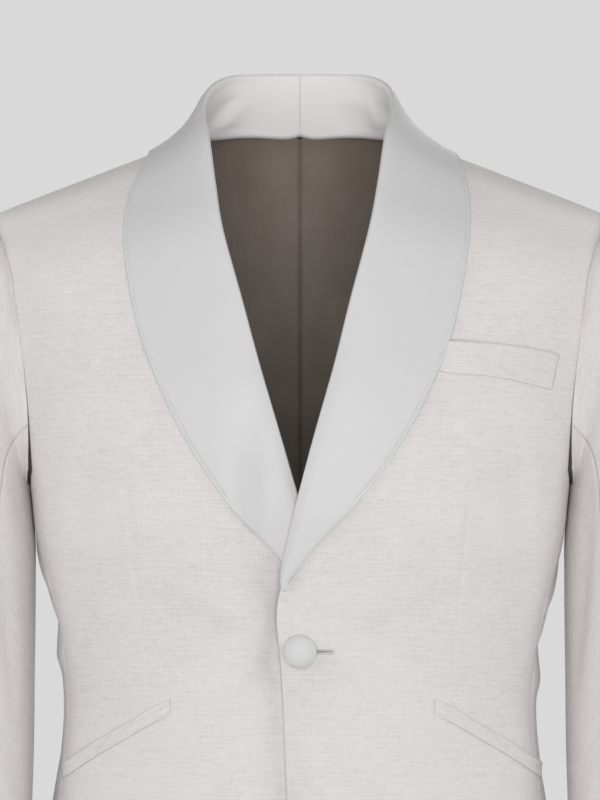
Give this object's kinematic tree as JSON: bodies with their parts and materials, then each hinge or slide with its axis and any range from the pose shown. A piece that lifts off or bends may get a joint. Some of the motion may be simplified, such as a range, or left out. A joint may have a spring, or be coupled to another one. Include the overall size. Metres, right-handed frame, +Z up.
{
  "type": "tuxedo jacket",
  "caption": "Hollow single-breasted dinner jacket in its worn form, with a satin shawl collar, a covered button, a breast pocket and slanted hip pockets.",
  "frame": {"origin": "in the middle of the neck, level with the foot of the collar at the back, where the wearer's neck and shoulders hold the jacket", "axes": "+Z up, -Y the way the wearer faces, +X to the wearer's left"},
  "size_m": [0.6382, 0.2677, 0.7828],
  "materials": {
    "cloth": "matt ivory wool and linen weave with slubs",
    "satin": "soft ivory satin",
    "lining": "silky taupe lining"
  },
  "bodies": {
    "root": {"front_left": "cloth", "front_right": "cloth", "side_left": "cloth", "side_right": "cloth", "back_left": "cloth", "back_right": "cloth", "sleeve_top_left": "cloth", "sleeve_top_right": "cloth", "sleeve_under_left": "cloth", "sleeve_under_right": "cloth", "breast_welt": "cloth", "hip_welt_left": "cloth", "hip_welt_right": "cloth", "shawl_left": "satin", "shawl_right": "satin", "button": "satin", "lining_left": "lining", "lining_right": "lining"}
  },
  "joints": []
}
